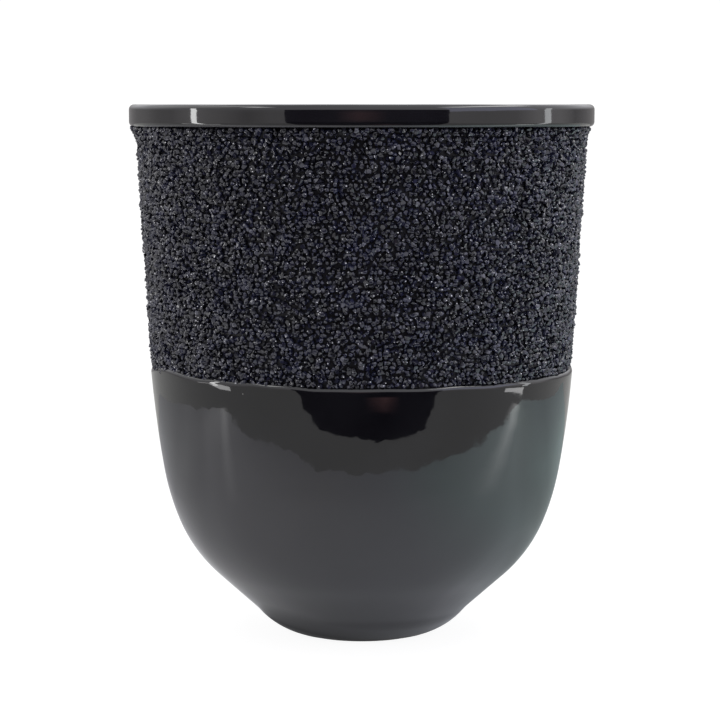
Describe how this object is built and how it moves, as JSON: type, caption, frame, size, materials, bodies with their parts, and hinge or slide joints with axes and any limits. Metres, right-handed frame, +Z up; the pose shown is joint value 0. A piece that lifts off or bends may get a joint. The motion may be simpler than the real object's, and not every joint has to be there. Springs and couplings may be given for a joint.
{
  "type": "candle jar",
  "caption": "Empty round ceramic candle jar with an upright rim, a recessed band of glued glass grit, and a glossy dark bowl on a small foot.",
  "frame": {"origin": "centre of the flat base, on the surface that the jar stands on", "axes": "+Z up along the jar's axis of revolution; +X and +Y are free directions across the jar"},
  "size_m": [0.1, 0.1, 0.1147],
  "materials": {
    "bare_clay": "matte unglazed dark stoneware, seen only on the base",
    "black_glaze": "glossy near-black glaze",
    "black_adhesive": "satin black resin",
    "glass_grit": "opaque near-black crushed glass with a faint navy cast"
  },
  "bodies": {
    "root": {"clay_body": "bare_clay", "glaze_coat": "black_glaze", "adhesive_coat": "black_adhesive", "grain_band": "glass_grit"}
  },
  "joints": []
}
